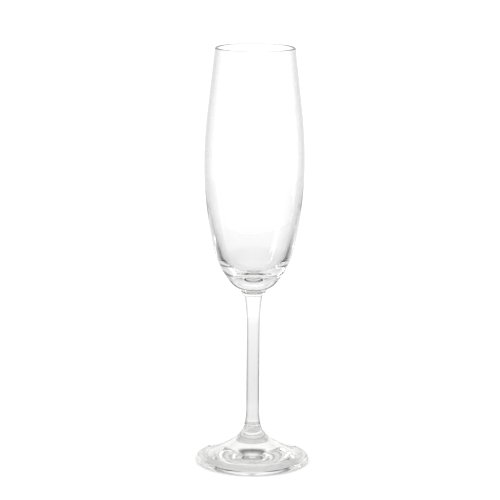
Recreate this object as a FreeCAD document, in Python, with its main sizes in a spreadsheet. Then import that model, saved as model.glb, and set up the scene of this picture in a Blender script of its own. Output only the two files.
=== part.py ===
"""Champagne flute, 230 mm tall: a parametric FreeCAD model in millimetres.

The glass is made the way stemware is made in the hot shop, from four gathers of glass that
are fused end to end: the blown bowl, a small collar bead under it, the drawn stem and the
pressed foot. Each one is a body of its own, and neighbours meet on a flat fused face.

The axis of the glass is +Z. The origin is at the centre of the foot, on the table.
"""
import FreeCAD
import Part
import os
import Sketcher

DIMENSIONS = {
    # whole glass
    "total_height": 230.0,
    # bowl, outside
    "rim_radius": 21.7,
    "shoulder_height": 195.0,
    "shoulder_radius": 25.6,
    "belly_height": 167.0,
    "belly_radius": 27.2,
    "waist_height": 120.0,
    "waist_radius": 21.8,
    "turn_height": 101.7,
    "turn_radius": 12.9,
    "seat_height": 97.2,
    "seat_radius": 6.2,
    # bowl, inside
    "wall_thickness": 1.1,
    "inner_turn_height": 118.0,
    "floor_height": 104.5,
    # collar bead
    "bead_curve": 1.75,
    # stem
    "stem_top_height": 94.2,
    "stem_top_radius": 5.0,
    "taper_height": 76.0,
    "stem_radius": 3.5,
    "flare_height": 31.0,
    "stem_base_radius": 4.3,
    # foot
    "hub_height": 21.0,
    "hub_radius": 4.7,
    "hub_base_height": 17.6,
    "hub_base_radius": 5.7,
    "cone_height": 12.0,
    "cone_radius": 11.0,
    "foot_radius": 31.2,
    "edge_curve": 1.6,
    "recess_radius": 25.0,
    "lip_radius": 24.5,
    "lip_height": 1.5,
    "recess_height": 4.2,
}

# Sketcher's numbers for the ends of a stretch, and for the sketch's own axes. The radius axis
# lies on the table and starts at the origin.
START = 1
END = 2
CENTRE = 3
RADIUS_AXIS = -1
HEIGHT_AXIS = -2

UP = FreeCAD.Vector(0, 1, 0)
DOWN = FreeCAD.Vector(0, -1, 0)
NORMAL = FreeCAD.Vector(0, 0, 1)

# Rough headings of the arcs that leave at a slant, to draw them near their final shape.
OUT_AND_UP = FreeCAD.Vector(3, 1, 0)
OUT_AND_DOWN = FreeCAD.Vector(1, -9, 0)
IN_AND_UP = FreeCAD.Vector(-1, 6, 0)
NEARLY_LEVEL = FreeCAD.Vector(-9, 2, 0)


def make_sheet(doc):
    """Write the driving dimensions to a spreadsheet, one alias for each."""
    sheet = doc.addObject("Spreadsheet::Sheet", "Dimensions")
    for row, (name, value) in enumerate(DIMENSIONS.items(), start=1):
        sheet.set("A%d" % row, name)
        sheet.set("B%d" % row, str(value))
        sheet.setAlias("B%d" % row, name)
    doc.recompute()


def spot(radius_name, height_name):
    """The point (radius, height) that two driving dimensions give."""
    return DIMENSIONS[radius_name], DIMENSIONS[height_name]


class Outline:
    """The half outline of one turned body, drawn from point to point beside the axis.

    A point is (radius, height). Each stretch starts where the last one ended. The points are
    starting values: the constraints that follow hold the exact shape.
    """

    def __init__(self, body, first_point):
        self.sketch = body.newObject("Sketcher::SketchObject", body.Name + "Outline")
        planes = {item.Role: item for item in body.Origin.OriginFeatures}
        self.sketch.AttachmentSupport = (planes["XZ_Plane"], [""])
        self.sketch.MapMode = "FlatFace"
        self.place = FreeCAD.Vector(*first_point, 0)
        self.stretches = []

    def line(self, point):
        """Draw a straight stretch to a point, and give its number."""
        end = FreeCAD.Vector(*point, 0)
        number = self.sketch.addGeometry(Part.LineSegment(self.place, end))
        self.stretches.append((number, START, END))
        self.place = end
        return number

    def arc(self, point, heading):
        """Draw an arc to a point, tangent to the heading where it leaves, and give its number."""
        end = FreeCAD.Vector(*point, 0)
        side = NORMAL.cross(heading).normalize()
        chord = end - self.place
        radius = chord.dot(chord) / (2 * chord.dot(side))
        circle = Part.Circle(self.place + side * radius, NORMAL, abs(radius))
        first, last = (START, END) if radius > 0 else (END, START)
        span = sorted([(first, circle.parameter(self.place)), (last, circle.parameter(end))])
        number = self.sketch.addGeometry(Part.ArcOfCircle(circle, span[0][1], span[1][1]))
        self.stretches.append((number, first, last))
        self.place = end
        return number

    def smooth_arc(self, point):
        """Draw an arc to a point, tangent to the stretch before it, and give its number."""
        number, first, last = self.stretches[-1]
        curve = self.sketch.Geometry[number]
        heading = curve.tangent(curve.LastParameter if last == END else curve.FirstParameter)[0]
        if last == START:
            heading = -heading
        return self.arc(point, heading)

    def close(self, smooth):
        """Join each stretch to the next one. The numbers in smooth join on as a tangent."""
        following = self.stretches[1:] + self.stretches[:1]
        for (number, _, last), (next_number, first, _) in zip(self.stretches, following):
            kind = "Tangent" if next_number in smooth else "Coincident"
            self.fix(kind, number, last, next_number, first)

    def fix(self, kind, *parts):
        """Add a geometric constraint, such as Tangent or Horizontal."""
        self.sketch.addConstraint(Sketcher.Constraint(kind, *parts))

    def measure(self, formula, kind, *parts):
        """Add a dimension that follows a formula over the sheet's aliases."""
        value = float(self.sketch.evalExpression(formula))
        index = self.sketch.addConstraint(Sketcher.Constraint(kind, *parts, value))
        self.sketch.setExpression("Constraints[%d]" % index, formula)

    def arrive(self, number, radius=None, height=None):
        """Pin where a stretch arrives: its radius, its height or both follow a formula."""
        _, _, last = self.stretches[number]
        if radius:
            self.measure(radius, "DistanceX", RADIUS_AXIS, START, number, last)
        if height:
            self.measure(height, "DistanceY", RADIUS_AXIS, START, number, last)

    def level(self, number, height):
        """Keep an arc's centre at a height, where the arc is upright."""
        self.measure(height, "DistanceY", RADIUS_AXIS, START, number, CENTRE)


def turn(body, outline):
    """Turn a closed half outline a full circle about the axis of the glass."""
    feature = body.newObject("PartDesign::Revolution", body.Name + "Turned")
    feature.Profile = outline.sketch
    feature.ReferenceAxis = (outline.sketch, ["V_Axis"])
    feature.Angle = 360
    outline.sketch.Visibility = False
    body.Document.recompute()


def new_body(doc, label):
    """Add an empty body. Its label names the file that it is exported to."""
    body = doc.addObject("PartDesign::Body", label.title())
    body.Label = label
    return body


def make_bowl(doc):
    """The blown bowl: an egg shape drawn in at the rim, with a heavier rounded bottom."""
    wall = DIMENSIONS["wall_thickness"]
    rim_radius, total_height = spot("rim_radius", "total_height")
    shoulder_radius, shoulder_height = spot("shoulder_radius", "shoulder_height")
    belly_radius, belly_height = spot("belly_radius", "belly_height")
    rim_height = total_height - wall / 2
    body = new_body(doc, "bowl")
    bowl = Outline(body, (0, DIMENSIONS["floor_height"]))
    axis = bowl.line((0, DIMENSIONS["seat_height"]))
    seat = bowl.line(spot("seat_radius", "seat_height"))
    bottom = bowl.arc(spot("turn_radius", "turn_height"), OUT_AND_UP)
    lower = bowl.smooth_arc(spot("waist_radius", "waist_height"))
    belly = bowl.smooth_arc((belly_radius, belly_height))
    shoulder = bowl.arc((shoulder_radius, shoulder_height), UP)
    upper = bowl.smooth_arc((rim_radius, rim_height))
    rim = bowl.arc((rim_radius - wall, rim_height), UP)
    inner_upper = bowl.arc((shoulder_radius - wall, shoulder_height), OUT_AND_DOWN)
    inner_shoulder = bowl.smooth_arc((belly_radius - wall, belly_height))
    inner_belly = bowl.arc(spot("waist_radius", "inner_turn_height"), DOWN)
    floor = bowl.smooth_arc((0, DIMENSIONS["floor_height"]))
    bowl.close([lower, belly, shoulder, upper, rim, inner_upper, inner_shoulder, inner_belly, floor])
    bowl.fix("PointOnObject", axis, START, HEIGHT_AXIS)
    bowl.fix("Vertical", axis)
    bowl.fix("Horizontal", seat)
    bowl.fix("PointOnObject", floor, CENTRE, HEIGHT_AXIS)
    bowl.arrive(seat, "Dimensions.seat_radius", "Dimensions.seat_height")
    bowl.arrive(bottom, "Dimensions.turn_radius", "Dimensions.turn_height")
    bowl.arrive(lower, "Dimensions.waist_radius", "Dimensions.waist_height")
    bowl.arrive(belly, "Dimensions.belly_radius", "Dimensions.belly_height")
    bowl.level(shoulder, "Dimensions.belly_height")
    bowl.arrive(shoulder, "Dimensions.shoulder_radius", "Dimensions.shoulder_height")
    bowl.measure("Dimensions.wall_thickness / 2", "Radius", rim)
    bowl.measure("Dimensions.rim_radius - Dimensions.wall_thickness / 2",
                 "DistanceX", RADIUS_AXIS, START, rim, CENTRE)
    bowl.level(rim, "Dimensions.total_height - Dimensions.wall_thickness / 2")
    bowl.arrive(inner_upper, "Dimensions.shoulder_radius - Dimensions.wall_thickness",
                "Dimensions.shoulder_height")
    bowl.arrive(inner_shoulder, "Dimensions.belly_radius - Dimensions.wall_thickness",
                "Dimensions.belly_height")
    bowl.level(inner_belly, "Dimensions.belly_height")
    bowl.arrive(inner_belly, height="Dimensions.inner_turn_height")
    bowl.arrive(floor, height="Dimensions.floor_height")
    turn(body, bowl)
    return body


def make_collar(doc):
    """The collar bead: a short rounded ring of glass between the bowl and the stem."""
    body = new_body(doc, "collar")
    collar = Outline(body, (0, DIMENSIONS["seat_height"]))
    axis = collar.line((0, DIMENSIONS["stem_top_height"]))
    base = collar.line(spot("stem_top_radius", "stem_top_height"))
    bead = collar.arc(spot("seat_radius", "seat_height"), OUT_AND_UP)
    top = collar.line((0, DIMENSIONS["seat_height"]))
    collar.close([])
    collar.fix("PointOnObject", axis, START, HEIGHT_AXIS)
    collar.fix("Vertical", axis)
    collar.fix("Horizontal", base)
    collar.fix("Horizontal", top)
    collar.arrive(base, "Dimensions.stem_top_radius", "Dimensions.stem_top_height")
    collar.arrive(bead, "Dimensions.seat_radius", "Dimensions.seat_height")
    collar.measure("Dimensions.bead_curve", "Radius", bead)
    turn(body, collar)
    return body


def make_stem(doc):
    """The drawn stem: a slim rod that widens towards the collar and, less, towards the foot."""
    body = new_body(doc, "stem")
    stem = Outline(body, (0, DIMENSIONS["stem_top_height"]))
    axis = stem.line((0, DIMENSIONS["hub_height"]))
    base = stem.line(spot("stem_base_radius", "hub_height"))
    flare_back = (DIMENSIONS["stem_radius"], DIMENSIONS["flare_height"])
    flare = stem.arc(flare_back, IN_AND_UP)
    rod = stem.line(spot("stem_radius", "taper_height"))
    taper = stem.arc(spot("stem_top_radius", "stem_top_height"), UP)
    top = stem.line((0, DIMENSIONS["stem_top_height"]))
    stem.close([rod, taper])
    stem.fix("PointOnObject", axis, START, HEIGHT_AXIS)
    stem.fix("Vertical", axis)
    stem.fix("Horizontal", base)
    stem.fix("Vertical", rod)
    stem.fix("Horizontal", top)
    stem.arrive(base, "Dimensions.stem_base_radius", "Dimensions.hub_height")
    stem.arrive(flare, "Dimensions.stem_radius", "Dimensions.flare_height")
    stem.arrive(rod, height="Dimensions.taper_height")
    stem.arrive(taper, "Dimensions.stem_top_radius", "Dimensions.stem_top_height")
    turn(body, stem)
    return body


def make_foot(doc):
    """The pressed foot: a hub that runs out into a shallow cone, hollow underneath.

    It stands on a flat ring. Inside the ring a steep lip leads up to the domed recess.
    """
    edge = DIMENSIONS["edge_curve"]
    foot_radius = DIMENSIONS["foot_radius"]
    body = new_body(doc, "foot")
    foot = Outline(body, (0, DIMENSIONS["hub_height"]))
    top = foot.line(spot("hub_radius", "hub_height"))
    hub = foot.arc(spot("hub_base_radius", "hub_base_height"), DOWN)
    hub_base = foot.smooth_arc(spot("cone_radius", "cone_height"))
    cone = foot.smooth_arc((foot_radius - edge / 2, 2 * edge))
    rounding = foot.smooth_arc((foot_radius - edge, 0))
    ring = foot.line((DIMENSIONS["recess_radius"], 0))
    lip = foot.line(spot("lip_radius", "lip_height"))
    recess = foot.arc((0, DIMENSIONS["recess_height"]), NEARLY_LEVEL)
    axis = foot.line((0, DIMENSIONS["hub_height"]))
    foot.close([hub_base, cone, rounding, ring])
    foot.fix("Vertical", axis)
    foot.fix("PointOnObject", axis, START, HEIGHT_AXIS)
    foot.fix("PointOnObject", recess, CENTRE, HEIGHT_AXIS)
    foot.fix("PointOnObject", ring, END, RADIUS_AXIS)
    foot.fix("Horizontal", ring)
    foot.fix("Horizontal", top)
    foot.arrive(top, "Dimensions.hub_radius", "Dimensions.hub_height")
    foot.arrive(hub, "Dimensions.hub_base_radius", "Dimensions.hub_base_height")
    foot.level(hub, "Dimensions.hub_height")
    foot.arrive(hub_base, "Dimensions.cone_radius", "Dimensions.cone_height")
    foot.measure("Dimensions.edge_curve", "Radius", rounding)
    foot.arrive(rounding, "Dimensions.foot_radius - Dimensions.edge_curve")
    foot.arrive(ring, "Dimensions.recess_radius")
    foot.arrive(lip, "Dimensions.lip_radius", "Dimensions.lip_height")
    foot.arrive(recess, height="Dimensions.recess_height")
    turn(body, foot)
    return body


def check(doc, bodies):
    """Stop if a feature failed, a sketch is loose or a body is not one valid solid."""
    for item in doc.Objects:
        if "Invalid" in item.State or "Error" in item.State:
            raise RuntimeError("%s failed: %s" % (item.Name, item.State))
        if item.TypeId == "Sketcher::SketchObject" and item.solve() != 0:
            raise RuntimeError("%s can't be solved" % item.Name)
    for body in bodies:
        shape = body.Shape
        if shape.isNull() or not shape.isValid() or len(shape.Solids) != 1:
            raise RuntimeError("%s is not one valid solid" % body.Label)


def main():
    """Build the four bodies and write each one to its own file."""
    doc = FreeCAD.newDocument("ChampagneFlute")
    make_sheet(doc)
    bodies = [make_bowl(doc), make_collar(doc), make_stem(doc), make_foot(doc)]
    doc.recompute()
    check(doc, bodies)
    os.makedirs("parts", exist_ok=True)
    for body in bodies:
        body.Shape.exportStep("parts/%s.step" % body.Label)
        print("%s: %.0f mm3" % (body.Label, body.Shape.Volume))


main()
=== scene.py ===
"""Champagne flute in clear glass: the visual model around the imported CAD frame, in metres."""
import math
import bmesh
import bpy
from mathutils import Matrix, Vector


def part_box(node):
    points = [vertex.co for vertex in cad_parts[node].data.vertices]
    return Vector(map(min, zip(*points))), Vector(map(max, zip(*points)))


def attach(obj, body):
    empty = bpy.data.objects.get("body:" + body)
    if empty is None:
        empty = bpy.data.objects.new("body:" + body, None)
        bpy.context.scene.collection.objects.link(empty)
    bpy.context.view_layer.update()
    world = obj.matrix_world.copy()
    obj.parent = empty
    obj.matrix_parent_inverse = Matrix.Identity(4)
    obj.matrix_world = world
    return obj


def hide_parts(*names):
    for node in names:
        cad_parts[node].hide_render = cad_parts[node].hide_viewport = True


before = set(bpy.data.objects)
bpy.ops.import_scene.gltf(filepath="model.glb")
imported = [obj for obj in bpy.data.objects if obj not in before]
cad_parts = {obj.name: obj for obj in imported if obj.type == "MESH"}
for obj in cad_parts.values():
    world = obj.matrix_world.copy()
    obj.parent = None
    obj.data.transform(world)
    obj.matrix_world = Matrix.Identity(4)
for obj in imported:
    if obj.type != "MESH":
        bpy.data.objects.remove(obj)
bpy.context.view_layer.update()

MM = 0.001
UP = Vector((0, 1))
DOWN = Vector((0, -1))
OUTWARD = Vector((1, 0))

# Heights and radii that the frame gives. An outline's point is (radius, height).
BOWL_LOW, BOWL_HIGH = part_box("bowl")
STEM_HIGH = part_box("stem")[1]
FOOT_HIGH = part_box("foot")[1]
SEAT_HEIGHT = BOWL_LOW[2]
STEM_TOP_HEIGHT = STEM_HIGH[2]
HUB_HEIGHT = FOOT_HIGH[2]
FOOT_RADIUS = FOOT_HIGH[0]

# Bowl.
WALL = 1.1 * MM
RIM = (21.7 * MM, BOWL_HIGH[2] - WALL / 2)
SHOULDER = (25.6 * MM, 195 * MM)
BELLY = (BOWL_HIGH[0], 167 * MM)
WAIST = (21.8 * MM, 120 * MM)
TURN = (12.9 * MM, 101.7 * MM)
SEAT = (6.2 * MM, SEAT_HEIGHT)
INNER_TURN_HEIGHT = 118 * MM
FLOOR_HEIGHT = 104.5 * MM

# Collar bead and stem.
BEAD_CURVE = 1.75 * MM
STEM_TOP = (STEM_HIGH[0], STEM_TOP_HEIGHT)
TAPER_BASE = (3.5 * MM, 76 * MM)
FLARE_TOP = (3.5 * MM, 31 * MM)
STEM_BASE = (4.3 * MM, HUB_HEIGHT)

# Foot. Its cone meets the rounded edge EDGE_IN edge radii in from the outside and EDGE_UP up.
HUB = (4.7 * MM, HUB_HEIGHT)
HUB_BASE = (5.7 * MM, 17.6 * MM)
CONE = (11.0 * MM, 12.0 * MM)
EDGE_CURVE = 1.6 * MM
EDGE_IN = 0.76
EDGE_UP = 1.97
EDGE_TOP = (FOOT_RADIUS - EDGE_IN * EDGE_CURVE, EDGE_UP * EDGE_CURVE)
RECESS_RADIUS = 25 * MM
LIP = (24.5 * MM, 1.5 * MM)
RECESS_HEIGHT = 4.2 * MM

# Mesh detail: faces round the axis, the longest step and turn along an outline, and how close
# two heights or radii are to count as the same.
SIDES = 192
STEP = 0.9 * MM
STEP_ANGLE = math.radians(6)
TOUCH = 1e-7

# The blown wall is never quite even: its inside swells and thins by this much, in lobes round
# the axis that twist by so many radians per metre of height.
UNEVEN = 0.04 * MM
UNEVEN_LOBES = 3
UNEVEN_TWIST = 55

# Camera.
CAMERA_DISTANCE = 1.168
CAMERA_HEIGHT = 0.353
CAMERA_SIDE = -2.1 * MM
CAMERA_PITCH = math.radians(11.32)
CAMERA_ROLL = math.radians(0.42)
LENS = 157
SENSOR = 36

# Glass. A painted edge shade of 1 is clear; below 1 it darkens faces as they turn away, painted shade
# on the glass's edges. Ripples have so many waves per metre along x, y and z.
GLASS_IOR = 1.52
GLASS_GREY = (0.58, 0.58, 0.53, 1)
RIPPLE_DETAIL = 1.0
# How far a face has turned away, from 0 to 1, when it has its full painted edge shade.
EDGE_FULL = 0.8
GATHERS = {
    "bowl": {"name": "blown_glass", "edge_from": 0.2, "painted_edge_shade": 0.76, "density": 1,
             "waves": (45, 45, 18), "depth": 0.02 * MM},
    "collar": {"name": "fused_glass", "edge_from": 0.6, "painted_edge_shade": 0.97, "density": 1,
               "waves": (150, 150, 150), "depth": 0.02 * MM},
    "stem": {"name": "drawn_glass", "edge_from": 0.15, "painted_edge_shade": 0.12, "density": 5,
             "waves": (500, 500, 12), "depth": 0.004 * MM},
    "foot": {"name": "pressed_glass", "edge_from": 0.5, "painted_edge_shade": 0.9, "density": 5,
             "waves": (70, 70, 70), "depth": 0.02 * MM},
}

# Light. Levels are the brightness of the white surround, where 1 is white in the picture. Heights
# are the upward part of a direction. The eye sees BACKGROUND, and the floor is lit by FLOOR_LIGHT.
BACKGROUND = 1.12
FLOOR_LIGHT = 1.37
# Straight through the glass, the surround is a little dimmer low down, near the floor's far edge.
THROUGH_LEVELS = (1.06, 1.2)
THROUGH_HEIGHTS = (-0.203, -0.172)
# What the glass mirrors: a wall, a light overhead and two tall softboxes. CARD_LEVELS are shares
# of the wall's level, where a dark card hangs above it.
WALL_LEVELS = (0.85, 1.02)
WALL_HEIGHTS = (0.05, 0.15)
CARD_LEVELS = (1.0, 0.2)
CARD_HEIGHTS = (0.38, 0.55)
OVERHEAD = 0.85
OVERHEAD_HEIGHTS = (0.55, 0.9)
# Each softbox: its bearing and half width in degrees, then its brightness.
SOFTBOXES = [(194, 4, 5.0), (17, 3, 1.5)]
SOFTBOX_LOW = -0.35
SOFTBOX_HIGH = 0.6
SOFTBOX_FADE = 0.02
SIDE_FADE = 0.004

# Floor. It lies just under the foot, so that the two faces don't fall together. A reach, or the
# inside or outside of its painted card ring, is a pair of distances from the axis, between which a
# level changes.
FLOOR_RADIUS = 0.5
FLOOR_GAP = 0.05 * MM
# Its white is a little darker towards the glass: painted shade round the glass.
FLOOR_WHITE = (0.9, 0.93)
FLOOR_WHITE_REACH = (0.03, 0.5)
# How much of its white shows straight through the glass, a painted shade. Under the foot, all of it
# does.
FLOOR_BEHIND = (0.76, 0.832)
FLOOR_BEHIND_REACH = (0.25, 0.48)
FLOOR_UNDER_REACH = (0.03, 0.06)
# How much of it the glass mirrors, a painted reflection of a dark card: all of it near the glass,
# the card's level below in the ring of the card, and FLOOR_FAR outside the ring.
PAINTED_CARD_REFLECTION = 0.06
PAINTED_CARD_INSIDE = (0.09, 0.14)
PAINTED_CARD_OUTSIDE = (0.17, 0.33)
FLOOR_FAR = 0.67

# How often light may bounce.
MAX_BOUNCES = 64
TRANSMISSION_BOUNCES = 32
GLOSSY_BOUNCES = 48


def arc(start, end, heading):
    """Points after start on the arc to end that leaves in the heading, and the new heading."""
    start = Vector(start)
    chord = Vector(end) - start
    heading = heading.normalized()
    side = Vector((-heading.y, heading.x))
    swing = 2 * math.atan2(heading.x * chord.y - heading.y * chord.x, heading.dot(chord))
    radius = chord.length / (2 * math.sin(swing / 2))
    centre = start + side * radius
    count = max(2, math.ceil(abs(radius * swing) / STEP), math.ceil(abs(swing) / STEP_ANGLE))
    turns = [Matrix.Rotation(swing * (i + 1) / count, 2) for i in range(count)]
    return [centre + turn @ (start - centre) for turn in turns], turns[-1] @ heading


def smooth_run(start, heading, *stations):
    """Points from start through the stations, on arcs that join smoothly."""
    points = [Vector(start)]
    for station in stations:
        stretch, heading = arc(points[-1], station, heading)
        points += stretch
    return points


def straight(start, end):
    """Points after start on a straight line to end."""
    start = Vector(start)
    end = Vector(end)
    count = math.ceil((end - start).length / STEP)
    return [start.lerp(end, (i + 1) / count) for i in range(count)]


def within(point):
    """A point of the bowl's outside, moved in by the wall's thickness."""
    return point[0] - WALL, point[1]


def inner_turn():
    """Where the inner wall's arc, upright at the belly, meets a floor arc that ends level."""
    wall_radius, wall_height = within(BELLY)
    drop = wall_height - INNER_TURN_HEIGHT
    rise = INNER_TURN_HEIGHT - FLOOR_HEIGHT
    half = (drop - wall_radius + rise) / 2
    return math.sqrt(half ** 2 + rise * (drop + wall_radius)) - half, INNER_TURN_HEIGHT


def bowl_outline():
    """From the seat's centre out and up to the rim, then down the inside to the floor's centre."""
    outside = smooth_run(BELLY, DOWN, WAIST, TURN, SEAT)[::-1]
    outside += smooth_run(BELLY, UP, SHOULDER, RIM)[1:]
    inside = smooth_run(within(BELLY), UP, within(SHOULDER), within(RIM))[::-1]
    inside += smooth_run(within(BELLY), DOWN, inner_turn(), (0, FLOOR_HEIGHT))[1:]
    lip = arc(RIM, within(RIM), UP)[0]
    return [Vector((0, SEAT_HEIGHT))] + outside + lip[:-1] + inside


def collar_outline():
    """The bead between the stem's top and the bowl's seat."""
    chord = Vector(SEAT) - Vector(STEM_TOP)
    half_swing = math.asin(chord.length / (2 * BEAD_CURVE))
    bead = smooth_run(STEM_TOP, Matrix.Rotation(-half_swing, 2) @ chord, SEAT)
    return [Vector((0, STEM_TOP_HEIGHT))] + bead + [Vector((0, SEAT_HEIGHT))]


def stem_outline():
    """The flare above the foot, the rod, and the taper up to the collar."""
    flare = smooth_run(FLARE_TOP, DOWN, STEM_BASE)[::-1]
    rod = straight(FLARE_TOP, TAPER_BASE)[:-1]
    taper = smooth_run(TAPER_BASE, UP, STEM_TOP)
    return [Vector((0, HUB_HEIGHT))] + flare + rod + taper + [Vector((0, STEM_TOP_HEIGHT))]


def foot_outline():
    """The hub, the cone, the rounded edge, the flat ring that it stands on, and the recess."""
    top = smooth_run(HUB, DOWN, HUB_BASE, CONE, EDGE_TOP, (FOOT_RADIUS - EDGE_CURVE, 0))
    recess = smooth_run((0, RECESS_HEIGHT), OUTWARD, LIP)[::-1]
    return [Vector((0, HUB_HEIGHT))] + top + [Vector((RECESS_RADIUS, 0))] + recess


def uneven(point, angle):
    """How far the bowl's inner wall stands in from its outline: none at the rim and the floor."""
    if point.y <= INNER_TURN_HEIGHT or point.y >= SHOULDER[1] or point.x > within(BELLY)[0] + TOUCH:
        return 0.0
    share = (point.y - INNER_TURN_HEIGHT) / (SHOULDER[1] - INNER_TURN_HEIGHT)
    lobes = math.sin(UNEVEN_LOBES * angle + UNEVEN_TWIST * point.y)
    return UNEVEN * math.sin(math.pi * share) ** 2 * lobes


def turned(name, outline, seams, inner_from):
    """A closed mesh turned from an outline that starts and ends on the axis.

    Faces at the heights in seams get the second material: they are the fused faces. From the
    outline's point inner_from on, the wall is uneven.
    """
    mesh = bmesh.new()
    rings = []
    for place, point in enumerate(outline):
        if point.x < TOUCH:
            rings.append([mesh.verts.new((0, 0, point.y))])
            continue
        ring = []
        for i in range(SIDES):
            angle = 2 * math.pi * i / SIDES
            radius = point.x
            if place >= inner_from:
                radius -= uneven(point, angle)
            ring.append(mesh.verts.new((radius * math.cos(angle), radius * math.sin(angle), point.y)))
        rings.append(ring)
    for lower, upper in zip(rings, rings[1:]):
        for i in range(SIDES):
            j = (i + 1) % SIDES
            if len(lower) == 1:
                corners = (lower[0], upper[i], upper[j])
            elif len(upper) == 1:
                corners = (lower[i], upper[0], lower[j])
            else:
                corners = (lower[i], upper[i], upper[j], lower[j])
            mesh.faces.new(corners)
    bmesh.ops.recalc_face_normals(mesh, faces=mesh.faces)
    for face in mesh.faces:
        fused = any(all(abs(vert.co.z - seam) < TOUCH for vert in face.verts) for seam in seams)
        face.smooth = not fused
        face.material_index = int(fused)
    data = bpy.data.meshes.new(name)
    mesh.to_mesh(data)
    mesh.free()
    return add_object(name, data)


def add_object(name, data):
    """A new object in the scene."""
    made = bpy.data.objects.new(name, data)
    bpy.context.scene.collection.objects.link(made)
    return made


def connect(tree, value, socket):
    """Give a socket a number, or link it to another socket."""
    if isinstance(value, (int, float)):
        socket.default_value = value
    else:
        tree.links.new(value, socket)


def math_node(tree, operation, *values):
    """One Math node over numbers and sockets, and the socket that it gives."""
    made = tree.nodes.new("ShaderNodeMath")
    made.operation = operation
    for socket, value in zip(made.inputs, values):
        connect(tree, value, socket)
    return made.outputs[0]


def ramp(tree, value, between, levels):
    """A smooth change between two levels while value goes between two numbers."""
    made = tree.nodes.new("ShaderNodeMapRange")
    made.interpolation_type = "SMOOTHSTEP"
    for socket, number in zip(made.inputs, (value, *between, *levels)):
        connect(tree, number, socket)
    return made.outputs[0]


def mixed(tree, share, first, second):
    """The first value where share is 0, and the second where it is 1."""
    made = tree.nodes.new("ShaderNodeMix")
    for socket, value in zip(made.inputs[:1] + made.inputs[2:4], (share, first, second)):
        connect(tree, value, socket)
    return made.outputs[0]


def new_material(name):
    """A material with nodes, its tree and its Principled shader."""
    material = bpy.data.materials.new(name)
    material.use_nodes = True
    tree = material.node_tree
    return material, tree, tree.nodes["Principled BSDF"]


def add_ripple(tree, shader, waves, depth):
    """A faint unevenness of the surface. Fewer waves along z than across draw it out upright."""
    place = tree.nodes.new("ShaderNodeTexCoord").outputs["Object"]
    mapping = tree.nodes.new("ShaderNodeMapping")
    mapping.inputs["Scale"].default_value = waves
    tree.links.new(place, mapping.inputs["Vector"])
    noise = tree.nodes.new("ShaderNodeTexNoise")
    noise.inputs["Scale"].default_value = 1.0
    noise.inputs["Detail"].default_value = RIPPLE_DETAIL
    tree.links.new(mapping.outputs["Vector"], noise.inputs["Vector"])
    bump = tree.nodes.new("ShaderNodeBump")
    bump.inputs["Distance"].default_value = depth
    tree.links.new(noise.outputs[0], bump.inputs["Height"])
    tree.links.new(bump.outputs["Normal"], shader.inputs["Normal"])


def glass_material(name, edge_from, painted_edge_shade, density, waves, depth):
    """Clear glass, faintly uneven. Its thickness greys it by the density.

    Where light enters from outside, faces darken from clear, once they turn away by edge_from, to
    the given edge level: painted shade on the glass's edges. Light that meets a wall from within the
    glass isn't darkened.
    """
    material, tree, shader = new_material(name)
    shader.inputs["Roughness"].default_value = 0.0
    shader.inputs["IOR"].default_value = GLASS_IOR
    shader.inputs["Transmission Weight"].default_value = 1.0
    # Painted shade: faces darken towards their edges as they turn away.
    facing = tree.nodes.new("ShaderNodeLayerWeight").outputs["Facing"]
    from_outside = ramp(tree, facing, (edge_from, EDGE_FULL), (1.0, painted_edge_shade))
    from_inside = tree.nodes.new("ShaderNodeNewGeometry").outputs["Backfacing"]
    tree.links.new(mixed(tree, from_inside, from_outside, 1.0), shader.inputs["Base Color"])
    add_ripple(tree, shader, waves, depth)
    absorb = tree.nodes.new("ShaderNodeVolumeAbsorption")
    absorb.inputs["Color"].default_value = GLASS_GREY
    absorb.inputs["Density"].default_value = density
    tree.links.new(absorb.outputs[0], tree.nodes["Material Output"].inputs["Volume"])
    return material


def seam_material():
    """Fused faces can't be seen: one gather runs on into the next."""
    material, _, shader = new_material("fused_seam")
    shader.inputs["Alpha"].default_value = 0.0
    return material


def make_glass():
    """The four gathers, each standing for its CAD node."""
    glasses = {name: glass_material(**look) for name, look in GATHERS.items()}
    seam = seam_material()
    outlines = {
        "bowl": (bowl_outline(), [SEAT_HEIGHT]),
        "collar": (collar_outline(), [SEAT_HEIGHT, STEM_TOP_HEIGHT]),
        "stem": (stem_outline(), [STEM_TOP_HEIGHT, HUB_HEIGHT]),
        "foot": (foot_outline(), [HUB_HEIGHT]),
    }
    for name, (outline, seams) in outlines.items():
        inner_from = len(outline)
        if name == "bowl":
            inner_from = max(range(len(outline)), key=lambda place: outline[place].y)
        piece = turned(name + "_glass", outline, seams, inner_from)
        piece.data.materials.append(glasses[name])
        piece.data.materials.append(seam)
        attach(piece, "root")
        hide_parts(name)


def make_camera():
    """The camera: in front of the glass and a little above its rim."""
    camera = add_object("camera", bpy.data.cameras.new("camera"))
    camera.data.lens = LENS
    camera.data.sensor_width = SENSOR
    camera.location = (CAMERA_SIDE, -CAMERA_DISTANCE, CAMERA_HEIGHT)
    aim = Matrix.Rotation(math.pi / 2 - CAMERA_PITCH, 4, "X") @ Matrix.Rotation(CAMERA_ROLL, 4, "Z")
    camera.rotation_euler = aim.to_euler()
    bpy.context.scene.camera = camera


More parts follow.
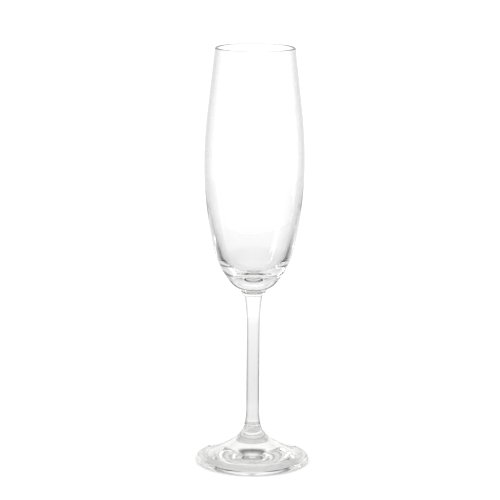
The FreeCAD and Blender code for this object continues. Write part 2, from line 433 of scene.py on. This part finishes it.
def softbox(tree, direction, bearing, half_width, brightness):
    """The brightness of a tall softbox. Its bearing is the angle from the x axis round to y."""
    x, y, z = direction
    facing = math_node(tree, "ADD", math_node(tree, "MULTIPLY", x, math.cos(bearing)),
                       math_node(tree, "MULTIPLY", y, math.sin(bearing)))
    level = math_node(tree, "SQRT", math_node(tree, "ADD", math_node(tree, "MULTIPLY", x, x),
                                              math_node(tree, "MULTIPLY", y, y)))
    aim = math_node(tree, "DIVIDE", facing, level)
    edge = math.cos(half_width)
    across = ramp(tree, aim, (edge - SIDE_FADE, edge + SIDE_FADE), (0.0, 1.0))
    above = ramp(tree, z, (SOFTBOX_LOW - SOFTBOX_FADE, SOFTBOX_LOW + SOFTBOX_FADE), (0.0, 1.0))
    below = ramp(tree, z, (SOFTBOX_HIGH - SOFTBOX_FADE, SOFTBOX_HIGH + SOFTBOX_FADE), (brightness, 0.0))
    return math_node(tree, "MULTIPLY", across, math_node(tree, "MULTIPLY", above, below))


def make_world():
    """A bright white surround. The glass shows and mirrors it with levels of their own."""
    world = bpy.data.worlds.new("studio")
    bpy.context.scene.world = world
    world.use_nodes = True
    tree = world.node_tree
    place = tree.nodes.new("ShaderNodeTexCoord")
    split = tree.nodes.new("ShaderNodeSeparateXYZ")
    tree.links.new(place.outputs["Generated"], split.inputs[0])
    direction = split.outputs
    height = direction[2]
    mirrored = math_node(tree, "MULTIPLY", ramp(tree, height, WALL_HEIGHTS, WALL_LEVELS),
                         ramp(tree, height, CARD_HEIGHTS, CARD_LEVELS))
    mirrored = math_node(tree, "ADD", mirrored, ramp(tree, height, OVERHEAD_HEIGHTS, (0.0, OVERHEAD)))
    for bearing, half_width, brightness in SOFTBOXES:
        light = softbox(tree, direction, math.radians(bearing), math.radians(half_width), brightness)
        mirrored = math_node(tree, "ADD", mirrored, light)
    through = ramp(tree, height, THROUGH_HEIGHTS, THROUGH_LEVELS)
    path = tree.nodes.new("ShaderNodeLightPath").outputs
    is_mirrored = math_node(tree, "MINIMUM", path["Glossy Depth"], 1.0)
    from_floor = math_node(tree, "MINIMUM", path["Diffuse Depth"], 1.0)
    total = mixed(tree, path["Is Transmission Ray"], BACKGROUND, through)
    total = mixed(tree, is_mirrored, total, mirrored)
    total = mixed(tree, from_floor, total, FLOOR_LIGHT)
    shader = tree.nodes["Background"]
    tree.links.new(total, shader.inputs["Strength"])
    shader.inputs["Color"].default_value = (1, 1, 1, 1)


def floor_material():
    """Matt white, a little darker towards the glass: painted shade. It dims further where the glass
    shows or mirrors it: painted shade, and a painted reflection of a dark card.
    """
    material, tree, shader = new_material("floor")
    shader.inputs["Specular IOR Level"].default_value = 0.0
    distance = tree.nodes.new("ShaderNodeVectorMath")
    distance.operation = "LENGTH"
    tree.links.new(tree.nodes.new("ShaderNodeTexCoord").outputs["Object"], distance.inputs[0])
    away = distance.outputs["Value"]
    path = tree.nodes.new("ShaderNodeLightPath").outputs
    # Painted shade: a little darker towards the glass.
    white = ramp(tree, away, FLOOR_WHITE_REACH, FLOOR_WHITE)
    # Painted shade: darker where the glass shows it straight through, but not under the foot.
    behind = ramp(tree, away, FLOOR_BEHIND_REACH, FLOOR_BEHIND)
    through = mixed(tree, ramp(tree, away, FLOOR_UNDER_REACH, (0.0, 1.0)), 1.0, behind)
    shade = mixed(tree, path["Is Transmission Ray"], 1.0, through)
    # Painted reflection of a dark card: the glass mirrors the floor dimmer in a ring round it.
    is_mirrored = math_node(tree, "MINIMUM", path["Glossy Depth"], 1.0)
    mirrored = math_node(tree, "ADD", ramp(tree, away, PAINTED_CARD_INSIDE, (1.0, PAINTED_CARD_REFLECTION)),
                         ramp(tree, away, PAINTED_CARD_OUTSIDE, (0.0, FLOOR_FAR - PAINTED_CARD_REFLECTION)))
    shade = math_node(tree, "MULTIPLY", shade, mixed(tree, is_mirrored, 1.0, mirrored))
    tree.links.new(math_node(tree, "MULTIPLY", white, shade), shader.inputs["Base Color"])
    return material


def make_floor():
    """A round white table top."""
    mesh = bmesh.new()
    bmesh.ops.create_circle(mesh, cap_ends=True, segments=SIDES, radius=FLOOR_RADIUS)
    data = bpy.data.meshes.new("floor")
    mesh.to_mesh(data)
    mesh.free()
    data.materials.append(floor_material())
    floor = add_object("floor", data)
    floor.location.z = -FLOOR_GAP


def set_render():
    """Plain colours, and enough bounces for light to pass through every wall of the glass."""
    scene = bpy.context.scene
    scene.view_settings.view_transform = "Standard"
    scene.cycles.max_bounces = MAX_BOUNCES
    scene.cycles.transmission_bounces = TRANSMISSION_BOUNCES
    scene.cycles.glossy_bounces = GLOSSY_BOUNCES
    scene.cycles.transparent_max_bounces = MAX_BOUNCES


make_camera()
make_world()
make_floor()
make_glass()
set_render()
